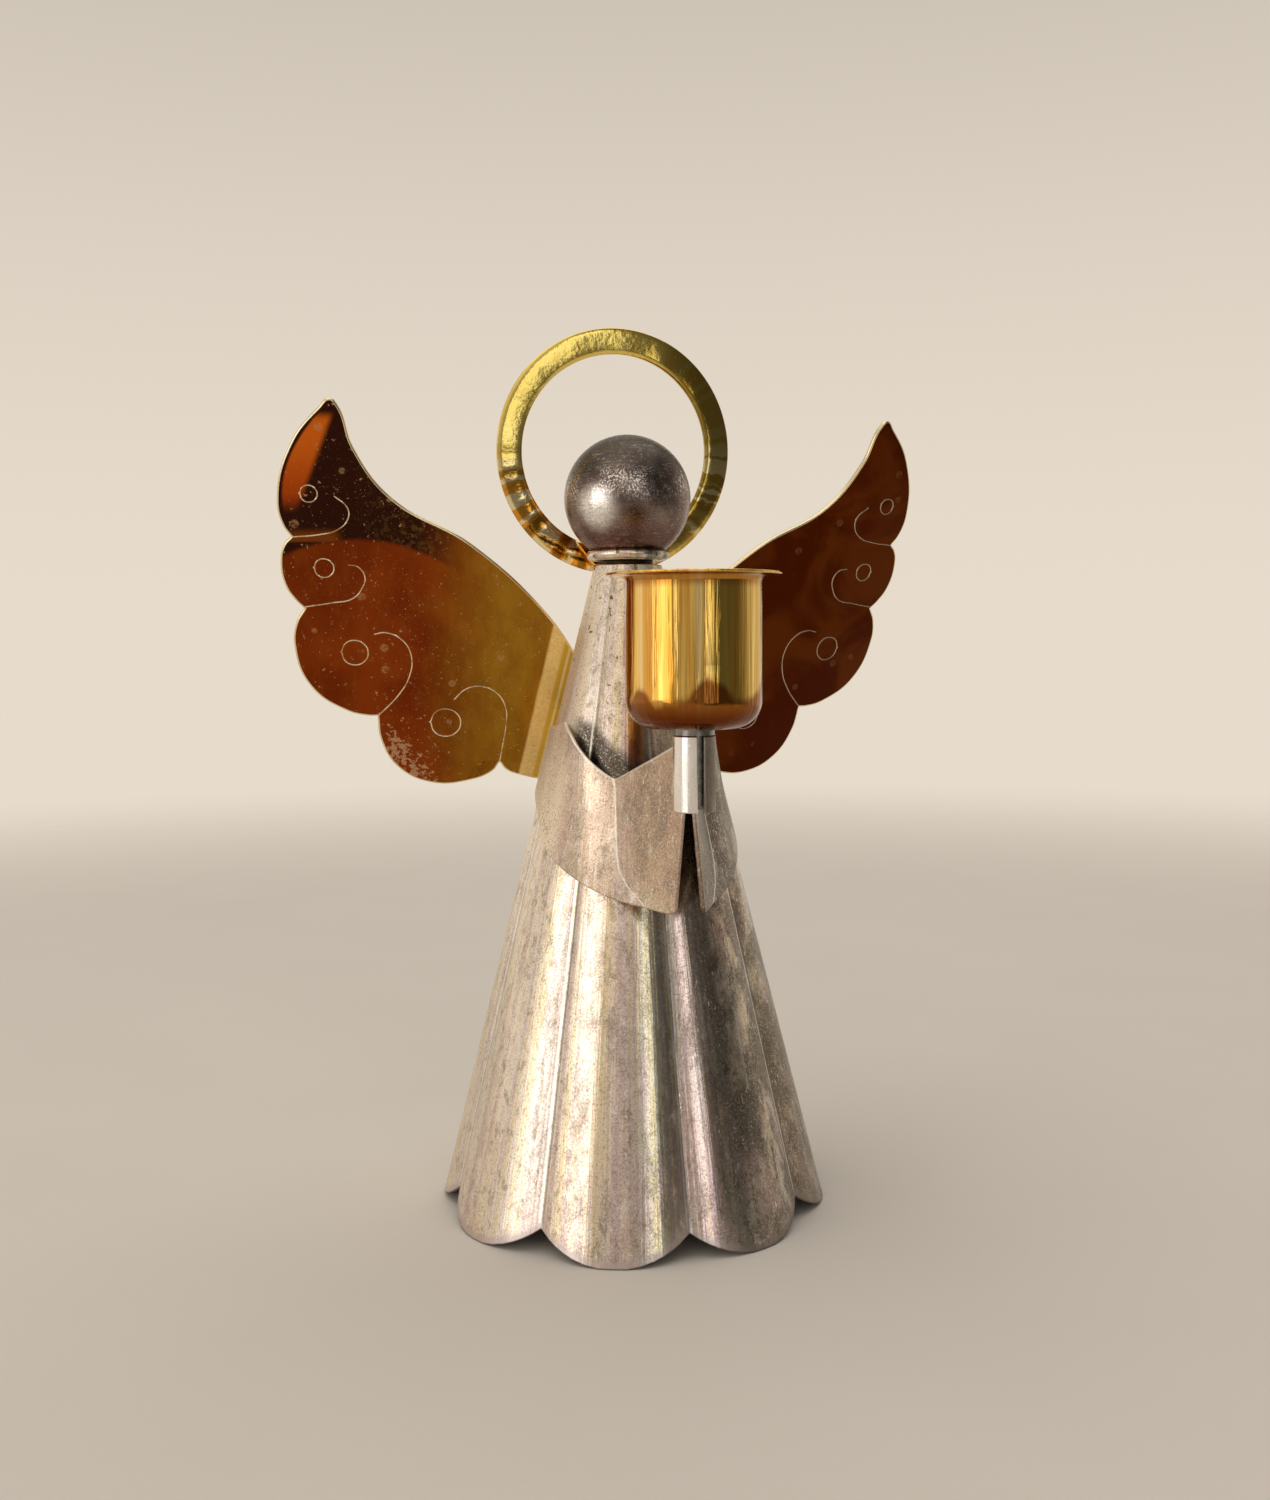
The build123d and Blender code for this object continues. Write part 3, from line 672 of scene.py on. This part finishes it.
    roughness = 0.055 + spots * 0.3 + dust * 0.3 + pitted * 0.35 + (film - 0.5) * 0.05
    roughness = roughness + from_gown.rise(40, 32) * front * (1 - reflection_strip) * 0.16
    roughness = roughness + reflection_strip * 0.30 + cut * 0.14
    relief = film * 1.5 + dust * 0.3 + spots * 0.2 + pitted * 0.6
    set_finish(shader, colour, roughness, relief, 0.02)
    return material


def line_brass():
    """Brass in the pressed lines: bare where rubbed, brown where lacquer has stayed, and darker on
    the right wing as painted shade."""
    material, shader, place = new_finish("line_brass")
    film = place.cloud(0.35, 3.0, 0.6)
    x = place.only("X")
    colour = film.rise(0.42, 0.66).over((0.98, 0.84, 0.60, 1), (0.55, 0.30, 0.12, 1))
    # Painted shade: darker lines on the right wing.
    colour = (x.rise(-5, 5) * 0.75).over(colour, (0.40, 0.29, 0.22, 1))
    set_finish(shader, colour, 0.10 + film * 0.12, film, 0.01)
    return material


def drawn(lines, closed, depth):
    """Flat curves through points in mm, smooth but at the feathers' notches, as a new bmesh.
    A closed one is a sheet of that thickness, and an open one a round line of that radius."""
    curve = bpy.data.curves.new("pattern", "CURVE")
    curve.dimensions = "2D" if closed else "3D"
    curve.resolution_u = 10
    curve.bevel_resolution = 2
    if closed:
        curve.fill_mode = "BOTH"
        curve.extrude = depth / 2 - WING_EDGE
        curve.bevel_depth = WING_EDGE
        curve.offset = -WING_EDGE
    else:
        curve.bevel_depth = depth
        curve.use_fill_caps = True
    for line in lines:
        spline = curve.splines.new("BEZIER")
        spline.bezier_points.add(len(line) - 1)
        spline.use_cyclic_u = closed or line[0] == line[-1]
        for knot, (x, y) in zip(spline.bezier_points, line):
            knot.co = (x, y, 0)
            corner = (abs(x), y) in FEATHER_NOTCHES
            knot.handle_left_type = knot.handle_right_type = "VECTOR" if corner else "AUTO"
    pattern = bpy.data.objects.new("pattern", curve)
    bpy.context.collection.objects.link(pattern)
    shape = bpy.data.meshes.new_from_object(pattern.evaluated_get(
        bpy.context.evaluated_depsgraph_get()))
    made = bmesh.new()
    made.from_mesh(shape)
    bpy.data.objects.remove(pattern)
    bpy.data.curves.remove(curve)
    bpy.data.meshes.remove(shape)
    bmesh.ops.remove_doubles(made, verts=made.verts, dist=0.001)
    return made


def bend_to_web(bm, lift):
    """Bends a flat pattern back along both sides of the web and sets it behind the gown."""
    bmesh.ops.translate(bm, vec=(0, 0, lift), verts=bm.verts)
    for side in (1, -1):
        bmesh.ops.bisect_plane(bm, geom=bm.verts[:] + bm.edges[:] + bm.faces[:], dist=0.0001,
                               plane_co=(side * WEB_HALF, 0, 0), plane_no=(1, 0, 0))
        outer = [v for v in bm.verts if side * v.co.x > WEB_HALF + 0.001]
        bmesh.ops.rotate(bm, verts=outer, cent=(side * WEB_HALF, 0, 0),
                         matrix=Matrix.Rotation(side * WING_SWEEP, 3, "Y"))
    upright = Matrix.Rotation(math.pi / 2 + WING_TILT, 3, "X")
    bmesh.ops.rotate(bm, verts=bm.verts, cent=(0, 0, 0), matrix=upright)
    bmesh.ops.translate(bm, vec=(0, WEB_Y, WEB_Z), verts=bm.verts)


brass = wing_brass()
mirrored = [(-x, y) for x, y in reversed(WING_OUTLINE)]
bm = drawn([WING_OUTLINE + [WEB_TOP] + mirrored + [WEB_FOOT]], True, WING_T)
bm.normal_update()
cut = bm.faces.layers.float.new("cut")
front = bm.faces.layers.float.new("front")
for face in bm.faces:
    face[cut] = float(abs(face.normal.z) < 0.99)
    face[front] = float(face.normal.z > 0)
bend_to_web(bm, -WING_T / 2)
bmesh.ops.recalc_face_normals(bm, faces=bm.faces)
finished(bm, "wing_sheet", brass, "figure", "wing_brass", "wings")

lines = list(FEATHER_HOOKS)
for x, y, r in FEATHER_RINGS:
    lines.append([(x + r * math.cos(a * math.pi / 4), y + r * math.sin(a * math.pi / 4))
                  for a in range(8)] + [(x + r, y)])
lines += [[(-x, y) for x, y in line] for line in lines]
bm = drawn(lines, False, LINE_R)
bend_to_web(bm, -LINE_SUNK)
bmesh.ops.recalc_face_normals(bm, faces=bm.faces)
finished(bm, "feather_lines", line_brass(), "figure", "wing_brass")


# Halo: flat ring cut from brass sheet, its corners broken. A tongue from its inner edge is rolled
# forward and drawn in to an eye on the neck screw, under the collar. Bright yellow, a little bent.
HALO_R = 24.4
HALO_BAND = 5.1
HALO_T = 1.2
HALO_Z = 150.2
HALO_BACK = 8.6
HALO_LEAN = math.radians(6)
EYE_R = 5.0
EYE_HOLE = 2.1
EYE_Z = 127.05
FOOT_T = 0.8
TONGUE_W = 18.0
TONGUE_NARROW = 6.0
TONGUE_TAPER = 1.6
TONGUE_TOP = 131.2
TONGUE_END = 3.5
TONGUE_CURL = 2.1
CURL_END = 0.45


def halo_brass():
    """Polished yellow brass: slow bends round the ring, hammer marks at its upper left and brown
    specks, darker round the eye. Painted reflections: yellower at the upper left, dark olive at
    the right, amber at the lower left, and uneven dark and pale bands across its lower front."""
    material, shader, place = new_finish("halo_brass")
    x = place.only("X")
    y = place.only("Y")
    z = place.only("Z") - HALO_Z
    ring = place.node("CombineXYZ", {}, {0: x, 1: z, 2: y})
    bends = round_the_axis(ring, 2.6, 0.02).cloud(1.0, 1.0, 0.4)
    film = place.cloud(0.16, 4.0, 0.6)
    wobble = (film - 0.5) * 5
    uneven = place.node("CombineXYZ", {}, {0: x + wobble, 1: z + wobble, 2: y})
    facets = round_the_axis(uneven, 8.5, 0.0).cloud(1.0, 1.0, 0.5)
    hammered = place.cloud(0.9, 2.0, 0.5)
    off_ring = y + z * math.tan(HALO_LEAN) - HALO_BACK
    on_ring = off_ring.rise(-1.6, -0.9) * off_ring.rise(0.2, -0.2)
    band_mask = (0.12 + z.rise(6, -6) * 0.88) * on_ring * (0.6 + x.rise(14, -4) * 0.4)
    colour = film.rise(0.35, 0.65).over((0.97, 0.72, 0.19, 1), (0.88, 0.58, 0.09, 1))
    # Painted reflections: dark olive at the right, amber at the lower left, and pale and dark
    # bands across the lower front.
    colour = (x.rise(2, 18) * z.rise(-22, -8) * 0.85).over(colour, (0.27, 0.175, 0.022, 1))
    colour = ((x * 0.6 + z).rise(-12, -20) * 0.85).over(colour, (0.76, 0.30, 0.022, 1))
    colour = (facets.rise(0.54, 0.575) * band_mask * 0.9).over(colour, (1.0, 0.86, 0.48, 1))
    colour = (facets.rise(0.465, 0.43) * band_mask * 0.85).over(colour, (0.32, 0.16, 0.020, 1))
    specks = place.cloud(1.9, 2.0, 0.5).rise(0.67, 0.74)
    colour = (specks * 0.7).over(colour, (0.30, 0.14, 0.04, 1))
    # Darker round the eye, under the collar.
    radius = (x * x + y * y) ** 0.5
    darkened = radius.rise(9.2, 7.8) * z.rise(128.9 - HALO_Z, 128.2 - HALO_Z)
    colour = darkened.over(colour, (0.045, 0.028, 0.014, 1))
    # Painted light: yellower and a little rougher at the upper left.
    lit_upper_left = (z * 0.8 - x).rise(2, 18) * z.rise(-8, 2)
    colour = (lit_upper_left * 0.7).over(colour, (0.97, 0.75, 0.20, 1))
    roughness = 0.075 + lit_upper_left * 0.08 + (film - 0.5) * 0.08 + specks * 0.3 + darkened * 0.4
    hammers = hammered * (0.12 + lit_upper_left * 0.3)
    set_finish(shader, colour, roughness, bends * 2.4 + facets * band_mask * 0.7 + hammers, 0.1)
    return material


bm = bmesh.new()
made = bmesh.ops.create_grid(bm, x_segments=1, y_segments=1, size=0.5)["verts"]
bmesh.ops.bevel(bm, geom=made, offset=0.2, offset_type="OFFSET", segments=2, profile=0.5,
                affect="VERTICES", material=-1)
bmesh.ops.delete(bm, geom=bm.faces[:], context="FACES_ONLY")
for v in bm.verts:
    v.co = (HALO_R - HALO_BAND * (0.5 - v.co.x), 0, v.co.y * HALO_T)
bmesh.ops.spin(bm, geom=bm.verts[:] + bm.edges[:], cent=(0, 0, 0), axis=(0, 0, 1),
               angle=2 * math.pi, steps=128, use_merge=True)
bmesh.ops.rotate(bm, verts=bm.verts, cent=(0, 0, 0),
                 matrix=Matrix.Rotation(math.pi / 2 + HALO_LEAN, 3, "X"))
bmesh.ops.translate(bm, vec=(0, HALO_BACK, HALO_Z), verts=bm.verts)
made = bmesh.ops.create_grid(bm, x_segments=14, y_segments=16, size=0.5)["verts"]
root = HALO_BACK + (HALO_Z - TONGUE_TOP) * math.tan(HALO_LEAN)
for v in made:
    share = 0.5 - v.co.y
    width = TONGUE_W + (TONGUE_NARROW - TONGUE_W) * min(1, share * TONGUE_TAPER)
    sunk = 0.5 - 0.5 * math.cos(math.pi * min(1, share * 2))
    curl = TONGUE_CURL * (2 * v.co.x) ** 2 * max(0, 1 - share / CURL_END)
    v.co = (v.co.x * width, root + (TONGUE_END - root) * share,
            TONGUE_TOP + (EYE_Z + FOOT_T / 2 - TONGUE_TOP) * sunk + curl)
tongue = list({f for v in made for f in v.link_faces})
bmesh.ops.recalc_face_normals(bm, faces=tongue)
bmesh.ops.solidify(bm, geom=tongue, thickness=FOOT_T)
made = bmesh.ops.create_grid(bm, x_segments=1, y_segments=1, size=0.5)["verts"]
for v in made:
    v.co = (EYE_HOLE + (EYE_R - EYE_HOLE) * (v.co.x + 0.5), 0, EYE_Z + FOOT_T * (v.co.y + 0.5))
section = list({e for v in made for e in v.link_edges})
bmesh.ops.delete(bm, geom=list({f for v in made for f in v.link_faces}), context="FACES_ONLY")
bmesh.ops.spin(bm, geom=made + section, cent=(0, 0, 0), axis=(0, 0, 1),
               angle=2 * math.pi, steps=64, use_merge=True)
bmesh.ops.recalc_face_normals(bm, faces=bm.faces)
halo = finished(bm, "halo_ring", halo_brass(), "halo", "halo_brass", "halo")
soften(halo, 0.12)


# Collar: silver-plated ring, turned to one full bead and dished on top for the ball. It sits on
# the halo's eye and is clamped by the neck screw.
COLLAR_R = 8.25
COLLAR_Z = 127.9
BEAD_R = 0.95
BEAD_FOOT = 0.12
BEAD_STEP = 0.3
COLLAR_LIP = 0.25
COLLAR_H = 1.75
DISH_R = 4.9
DISH_Z = 0.72


def turned(start, moves):
    """Lathe-turned shell about the axis. A move of two numbers is a line to that radius and
    height, and one of three an arc about that point through an angle in degrees."""
    bm = bmesh.new()
    pen = bm.verts.new((start[0], 0, start[1]))
    for move in moves:
        if len(move) == 2:
            pen = bmesh.ops.extrude_vert_indiv(bm, verts=[pen])["verts"][0]
            pen.co = (move[0], 0, move[1])
        else:
            arc = bmesh.ops.spin(bm, geom=[pen], cent=(move[0], 0, move[1]), axis=(0, 1, 0),
                                 angle=math.radians(move[2]), steps=max(4, int(abs(move[2]) / 6)))
            pen = next(g for g in arc["geom_last"] if isinstance(g, bmesh.types.BMVert))
    bmesh.ops.spin(bm, geom=bm.verts[:] + bm.edges[:], cent=(0, 0, 0), axis=(0, 0, 1),
                   angle=2 * math.pi, steps=96, use_merge=True)
    bmesh.ops.remove_doubles(bm, verts=bm.verts, dist=0.0005)
    bmesh.ops.recalc_face_normals(bm, faces=bm.faces)
    return bm


bead = COLLAR_R - BEAD_R
foot = COLLAR_Z + BEAD_FOOT
dish = COLLAR_Z + DISH_Z
bm = turned((NECK_HOLE, COLLAR_Z), [
    (bead - BEAD_STEP, COLLAR_Z), (bead - BEAD_STEP, foot), (bead, foot),
    (bead, foot + BEAD_R, -180), (bead - COLLAR_LIP, COLLAR_Z + COLLAR_H),
    (DISH_R, dish), (NECK_HOLE, dish), (NECK_HOLE, COLLAR_Z)])
collar = finished(bm, "collar_ring", plate, "figure", "silver_plate", "collar")
soften(collar, 0.12)


# Head: solid turned ball of dark plated metal, faced and bored below for the neck screw, which
# it turns on. Satin black-brown with a violet cast, rubbed and finely scratched.
HEAD_R = 12.5
HEAD_Z = 140.05
HEAD_FLAT = 11.4
HEAD_BORE = 2.05
BORE_DEPTH = 9.0
BORE_POINT = 1.0
HIGHLIGHT_SPOT = (-9.1, -8.4, 137.4)


def dark_metal():
    """Darkened metal: brown with a violet cast, covered with fine scratches that curve every way.
    Nearly black on top as painted shade, reddish below as a painted reflection, and with painted
    highlights in one pale spot and in a band of pale specks."""
    material, shader, place = new_finish("dark_metal")
    height = place.only("Z")
    patches = place.cloud(0.16, 4.0, 0.6, 0.5)
    grain = place.cloud(2.6, 3.0, 0.7)
    level = place.stretched(0.4, 0.4, 2.6).cloud(1.0, 4.0, 0.7, 1.2)
    steep = place.stretched(2.4, 2.4, 0.4).cloud(1.0, 4.0, 0.7, 1.2)
    colour = patches.rise(0.36, 0.66).over((0.17, 0.12, 0.105, 1), (0.30, 0.225, 0.195, 1))
    # Painted reflection, reddish brown, below the middle, and painted shade, nearly black, on top.
    colour = (height.rise(138, 131) * 0.8).over(colour, (0.17, 0.075, 0.06, 1))
    colour = (height.rise(141, 147) * 0.85).over(colour, (0.062, 0.050, 0.036, 1))
    rubbed = level.rise(0.56, 0.66) + steep.rise(0.58, 0.68)
    colour = (rubbed * 0.45).over(colour, (0.58, 0.48, 0.42, 1))
    colour = (grain.rise(0.50, 0.64) * 0.5).over(colour, (0.07, 0.05, 0.045, 1))
    # Painted highlights: a band of pale specks round the middle, and a pale spot at the lower
    # left.
    middle = height.rise(138, 141.5) * height.rise(146, 143)
    bright = grain.rise(0.49, 0.40) * middle * patches.rise(0.33, 0.52)
    ends = {0: place, 1: HIGHLIGHT_SPOT}
    from_spot = place.node("VectorMath", {"operation": "DISTANCE"}, ends, "Value")
    scuffed = (level - steep).rise(-0.10, 0.12)
    highlight_patch = from_spot.rise(5.8, 1.6) * (0.62 + scuffed * 0.50)
    colour = (bright * 0.95 + highlight_patch).over(colour, (0.97, 0.91, 0.84, 1))
    roughness = 0.26 + (patches - 0.5) * 0.16 + (grain - 0.5) * 0.2 - highlight_patch * 0.06
    set_finish(shader, colour, roughness, grain * 0.8 + (level + steep) * 1.6, 0.018)
    return material


seat_turn = math.degrees(math.acos(-HEAD_FLAT / HEAD_R))
seat_z = HEAD_Z - HEAD_FLAT
bm = turned((0, HEAD_Z + HEAD_R), [
    (0, HEAD_Z, seat_turn), (HEAD_BORE, seat_z), (HEAD_BORE, seat_z + BORE_DEPTH),
    (0, seat_z + BORE_DEPTH + BORE_POINT)])
finished(bm, "head_ball", dark_metal(), "head", "dark_metal", "head")


# Candle cup: drawn brass cup with a rounded floor and a lip turned out to a thin flange, bored
# below for its screw. Polished outside, with drawing streaks up the wall.
CUP_R = 11.4
CUP_WALL = 0.5
CUP_CORNER = 5.0
CUP_Z = 96.8
RIM_Z = 123.7
FLANGE_R = 15.39
LIP = 1.7
CUP_BORE = 1.55


def cup_brass():
    """Polished brass with amber and olive streaks up the wall, and pale streaks painted as
    highlights.
    Brown under the lip as painted shade, and towards the rounded floor as a painted reflection
    that ends unevenly across the streaks."""
    material, shader, place = new_finish("cup_brass")
    place = place.node("VectorMath", {"operation": "ADD"}, {0: place, 1: (0, CUP_REACH, 0)})
    streaks = round_the_axis(place, 6.0, 0.015).cloud(1.0, 4.0, 0.6)
    bands = round_the_axis(place, 3.2, 0.004).cloud(1.0, 2.0, 0.5)
    fine = round_the_axis(place, 26.0, 0.03).cloud(1.0, 3.0, 0.6)
    height = place.only("Z")
    film = place.cloud(0.2, 3.0, 0.6)
    dents = place.cloud(0.13, 2.0, 0.5) * height.rise(108, 102)
    colour = streaks.rise(0.42, 0.62).over((0.93, 0.63, 0.17, 1), (0.74, 0.36, 0.05, 1))
    colour = (bands.rise(0.50, 0.62) * 0.7).over(colour, (0.66, 0.46, 0.09, 1))
    colour = (bands.rise(0.44, 0.34) * 0.6).over(colour, (0.92, 0.48, 0.11, 1))
    colour = (fine.rise(0.56, 0.64) * 0.45).over(colour, (0.46, 0.22, 0.03, 1))
    # Painted highlights: pale streaks.
    colour = (streaks.rise(0.42, 0.35) * 0.6).over(colour, (1.0, 0.84, 0.48, 1))
    # Painted reflection: dark brown towards the rounded floor, with a ragged edge.
    lumps = round_the_axis(place, 2.6, 0.02).cloud(1.0, 0.0, 0.0)
    x = place.only("X")
    foot = (height - x * 0.16 + (lumps - 0.5) * 9 + (film - 0.5) * 3).rise(104.6, 102.6)
    colour = (foot * 0.9).over(colour, (0.26, 0.068, 0.009, 1))
    colour = (height.rise(101.5, 98.5) * 0.9).over(colour, (0.16, 0.034, 0.006, 1))
    # Painted shade under the lip.
    under_lip_shade = height.rise(120.6, 122.2) * height.rise(123.4, 122.9)
    colour = (under_lip_shade * 0.75).over(colour, (0.42, 0.16, 0.025, 1))
    roughness = 0.06 + (fine - 0.5) * 0.08 + film * 0.05
    set_finish(shader, colour, roughness, streaks * 7 + fine * 0.7 + dents * 14, 0.03)
    return material


outer = CUP_R + CUP_WALL
flat = outer - CUP_CORNER
knee = CUP_Z + CUP_CORNER
throat = RIM_Z - LIP
rim_edge = FLANGE_R - CUP_WALL / 2
bm = turned((CUP_BORE, CUP_Z), [
    (flat, CUP_Z), (flat, knee, -90), (outer, throat), (CUP_R + LIP, throat, 90),
    (rim_edge, RIM_Z - CUP_WALL), (rim_edge, RIM_Z - CUP_WALL / 2, -180),
    (CUP_R + LIP, RIM_Z), (CUP_R + LIP, throat, -90), (CUP_R, knee), (flat, knee, 90),
    (CUP_BORE, CUP_Z + CUP_WALL), (CUP_BORE, CUP_Z)])
bmesh.ops.translate(bm, vec=(0, -CUP_REACH, 0), verts=bm.verts)
finished(bm, "cup_shell", cup_brass(), "cup", "cup_brass", "candle_cup")


# Peg, screws, washers and nut: turned steel that has dulled to dark grey, kept as they are cut.
# Fine rings from the tool and duller spots show on their faces.
def bright_steel():
    """Turned steel, dulled to grey, with fine tool marks and darker spots."""
    material, shader, place = new_finish("bright_steel")
    marks = place.stretched(0.3, 0.3, 6).cloud(1.2, 3.0, 0.6)
    spots = place.cloud(0.6, 4.0, 0.6)
    colour = spots.rise(0.4, 0.65).over((0.30, 0.28, 0.26, 1), (0.18, 0.165, 0.15, 1))
    roughness = 0.22 + (marks - 0.5) * 0.2 + spots * 0.1
    set_finish(shader, colour, roughness, marks, 0.01)
    return material


steel = bright_steel()
for name in ("cup_stem", "cup_screw", "neck_screw", "neck_washer", "back_screw", "back_washer",
             "back_nut"):
    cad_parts[name].material_slots[0].material = steel


# Stage: a pale paper floor that fades into a soft studio sky, which is pale behind the object and
# at the left and dim at the right of the front. Three lamps: a large soft one at the left, a
# narrow one at the front and a wide one above.
FLOOR_R = 3.0
FLOOR_FADE = (350, 900)
LAMP_AIM = Vector((0, 0, 0.09))
# Lamps: place and size in metres, and power in watts.
LAMPS = {
    "left_lamp": ((-0.93, -0.37, 0.20), (0.56, 0.50), 1.15),
    "front_lamp": ((0.205, -1.295, 0.44), (0.30, 0.88), 0.88),
    "top_lamp": ((0.0, 0.1, 1.5), (2.0, 2.0), 9.0),
}
floor_mesh = bpy.data.meshes.new("floor")
bm = bmesh.new()
bmesh.ops.create_circle(bm, cap_ends=True, radius=FLOOR_R, segments=96)
bm.to_mesh(floor_mesh)
bm.free()
floor = bpy.data.objects.new("floor", floor_mesh)
bpy.context.collection.objects.link(floor)
paper, paper_shader, paper_place = new_finish("floor_paper", 0.0)
mottle = paper_place.cloud(0.02, 3.0, 0.5)
paper_colour = mottle.over((0.72, 0.67, 0.60, 1), (0.76, 0.71, 0.64, 1))
fibres = paper_place.cloud(1.5, 3.0, 0.5)
set_finish(paper_shader, paper_colour, 0.75 + mottle * 0.1, fibres, 0.03)
away = paper_place.node("VectorMath", {"operation": "LENGTH"}, {0: paper_place}, "Value")
clear = paper_place.node("BsdfTransparent")
faded = paper_place.node("MixShader", {}, {
    0: away.rise(*FLOOR_FADE), 1: Tone(paper.node_tree, paper_shader.outputs[0]), 2: clear})
paper.node_tree.links.new(faded.socket, paper.node_tree.nodes["Material Output"].inputs["Surface"])
floor_mesh.materials.append(paper)

world = bpy.data.worlds.new("studio")
world.use_nodes = True
bpy.context.scene.world = world
sky = Tone(world.node_tree)
direction = sky.node("TexCoord", {}, {}, "Generated")
right = direction.only("X")
behind = direction.only("Y")
above = direction.only("Z")
lit_side = above.rise(0.0, 0.50).over((0.48, 0.433, 0.376, 1), (0.88, 0.80, 0.71, 1))
room = right.rise(0.35, -0.45).over((0.12, 0.11, 0.098, 1), lit_side)
wall = above.rise(0.0, 0.8).over((0.80, 0.71, 0.60, 1), (0.42, 0.375, 0.32, 1))
sky_colour = behind.rise(-0.55, 0.40).over(room, wall)
world.node_tree.links.new(sky_colour.socket, world.node_tree.nodes["Background"].inputs["Color"])

for name, (spot, size, power) in LAMPS.items():
    lamp = bpy.data.lights.new(name, "AREA")
    lamp.shape = "RECTANGLE"
    lamp.size, lamp.size_y = size
    lamp.energy = power
    holder = bpy.data.objects.new(name, lamp)
    holder.location = spot
    aim = LAMP_AIM - Vector(spot)
    holder.rotation_euler = aim.to_track_quat("-Z", "Y").to_euler()
    bpy.context.collection.objects.link(holder)


# Camera: low and a little to the left of the front, as the photograph was taken. Its place is in
# metres, and it is turned, dipped and rolled by these angles.
CAMERA_PLACE = (-0.08374, -0.26834, 0.11183)
CAMERA_TURN = math.radians(-17.05)
CAMERA_DIP = math.radians(4.26)
CAMERA_ROLL = math.radians(-0.421)
camera = bpy.data.cameras.new("camera")
camera.sensor_width = 36.0
camera.lens = 34.76
camera.clip_start = 0.01
viewer = bpy.data.objects.new("camera", camera)
viewer.matrix_world = (
    Matrix.Translation(CAMERA_PLACE)
    @ Matrix.Rotation(CAMERA_TURN, 4, "Z")
    @ Matrix.Rotation(math.pi / 2 - CAMERA_DIP, 4, "X")
    @ Matrix.Rotation(CAMERA_ROLL, 4, "Z")
)
bpy.context.collection.objects.link(viewer)
bpy.context.scene.camera = viewer
bpy.context.scene.view_settings.view_transform = "Standard"
